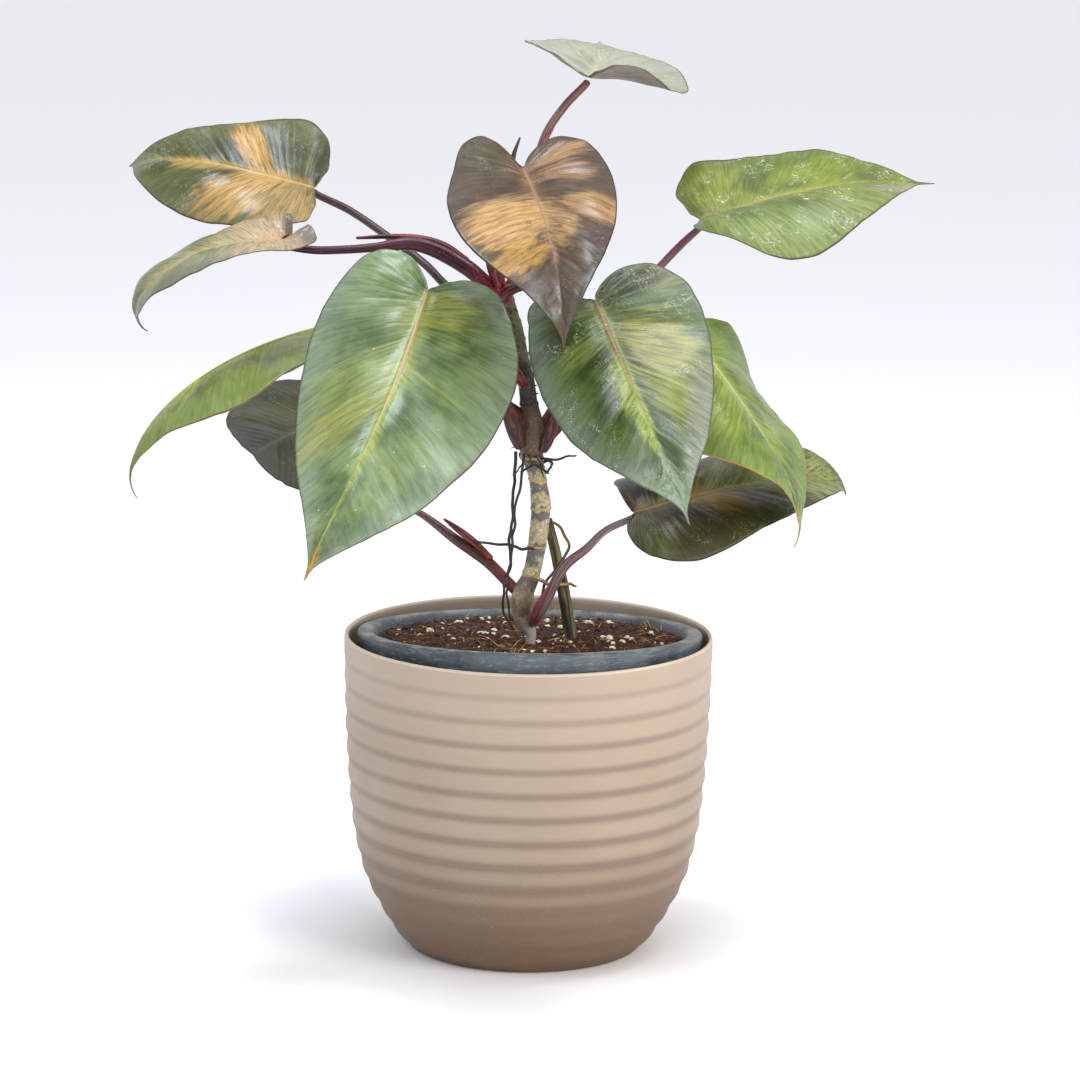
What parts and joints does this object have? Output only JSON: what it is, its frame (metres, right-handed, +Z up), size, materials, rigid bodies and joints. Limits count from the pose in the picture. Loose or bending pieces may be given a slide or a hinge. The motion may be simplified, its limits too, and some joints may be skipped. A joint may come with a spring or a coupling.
{
  "type": "potted philodendron",
  "caption": "Potted climbing philodendron with glossy heart-shaped leaves on dark stalks, in a grow pot with soil inside a ribbed tapered cover pot.",
  "frame": {"origin": "centre of the cover pot's flat base, on the surface that the pot stands on", "axes": "+Z up along the pot's axis, -Y towards the side the plant faces, +X to that side's right hand as seen from the front"},
  "size_m": [0.4779, 0.3898, 0.5399],
  "materials": {
    "taupe_plastic": "matte",
    "slate_plastic": "satin",
    "potting_soil": "matte",
    "green_blade": "satin",
    "bronze_blade": "satin",
    "dark_red_stalk": "satin",
    "stem_bark": "matte",
    "root_skin": "matte"
  },
  "bodies": {
    "root": {"cover_pot": "taupe_plastic", "nursery_pot": "slate_plastic", "potting_mix": "potting_soil", "main_stem": "stem_bark", "cut_stump": "stem_bark", "bud_spike": "dark_red_stalk", "leaf_01": "bronze_blade", "leaf_02": "green_blade", "leaf_03": "green_blade", "leaf_04": "green_blade", "leaf_05": "bronze_blade", "leaf_06": "bronze_blade", "leaf_07": "green_blade", "leaf_08": "green_blade", "leaf_09": "green_blade", "leaf_10": "green_blade", "leaf_11": "bronze_blade", "petiole_01": "dark_red_stalk", "petiole_02": "dark_red_stalk", "petiole_03": "dark_red_stalk", "petiole_04": "dark_red_stalk", "petiole_05": "dark_red_stalk", "petiole_06": "dark_red_stalk", "petiole_07": "dark_red_stalk", "petiole_08": "dark_red_stalk", "petiole_09": "dark_red_stalk", "petiole_10": "dark_red_stalk", "petiole_11": "dark_red_stalk", "old_sheath_left": "dark_red_stalk", "old_sheath_right": "dark_red_stalk", "root_hanging_long": "root_skin", "root_hanging_short": "root_skin", "root_loop": "root_skin", "root_wrap": "root_skin", "root_side_low": "root_skin", "root_side_high": "root_skin", "root_curl": "root_skin"}
  },
  "joints": []
}
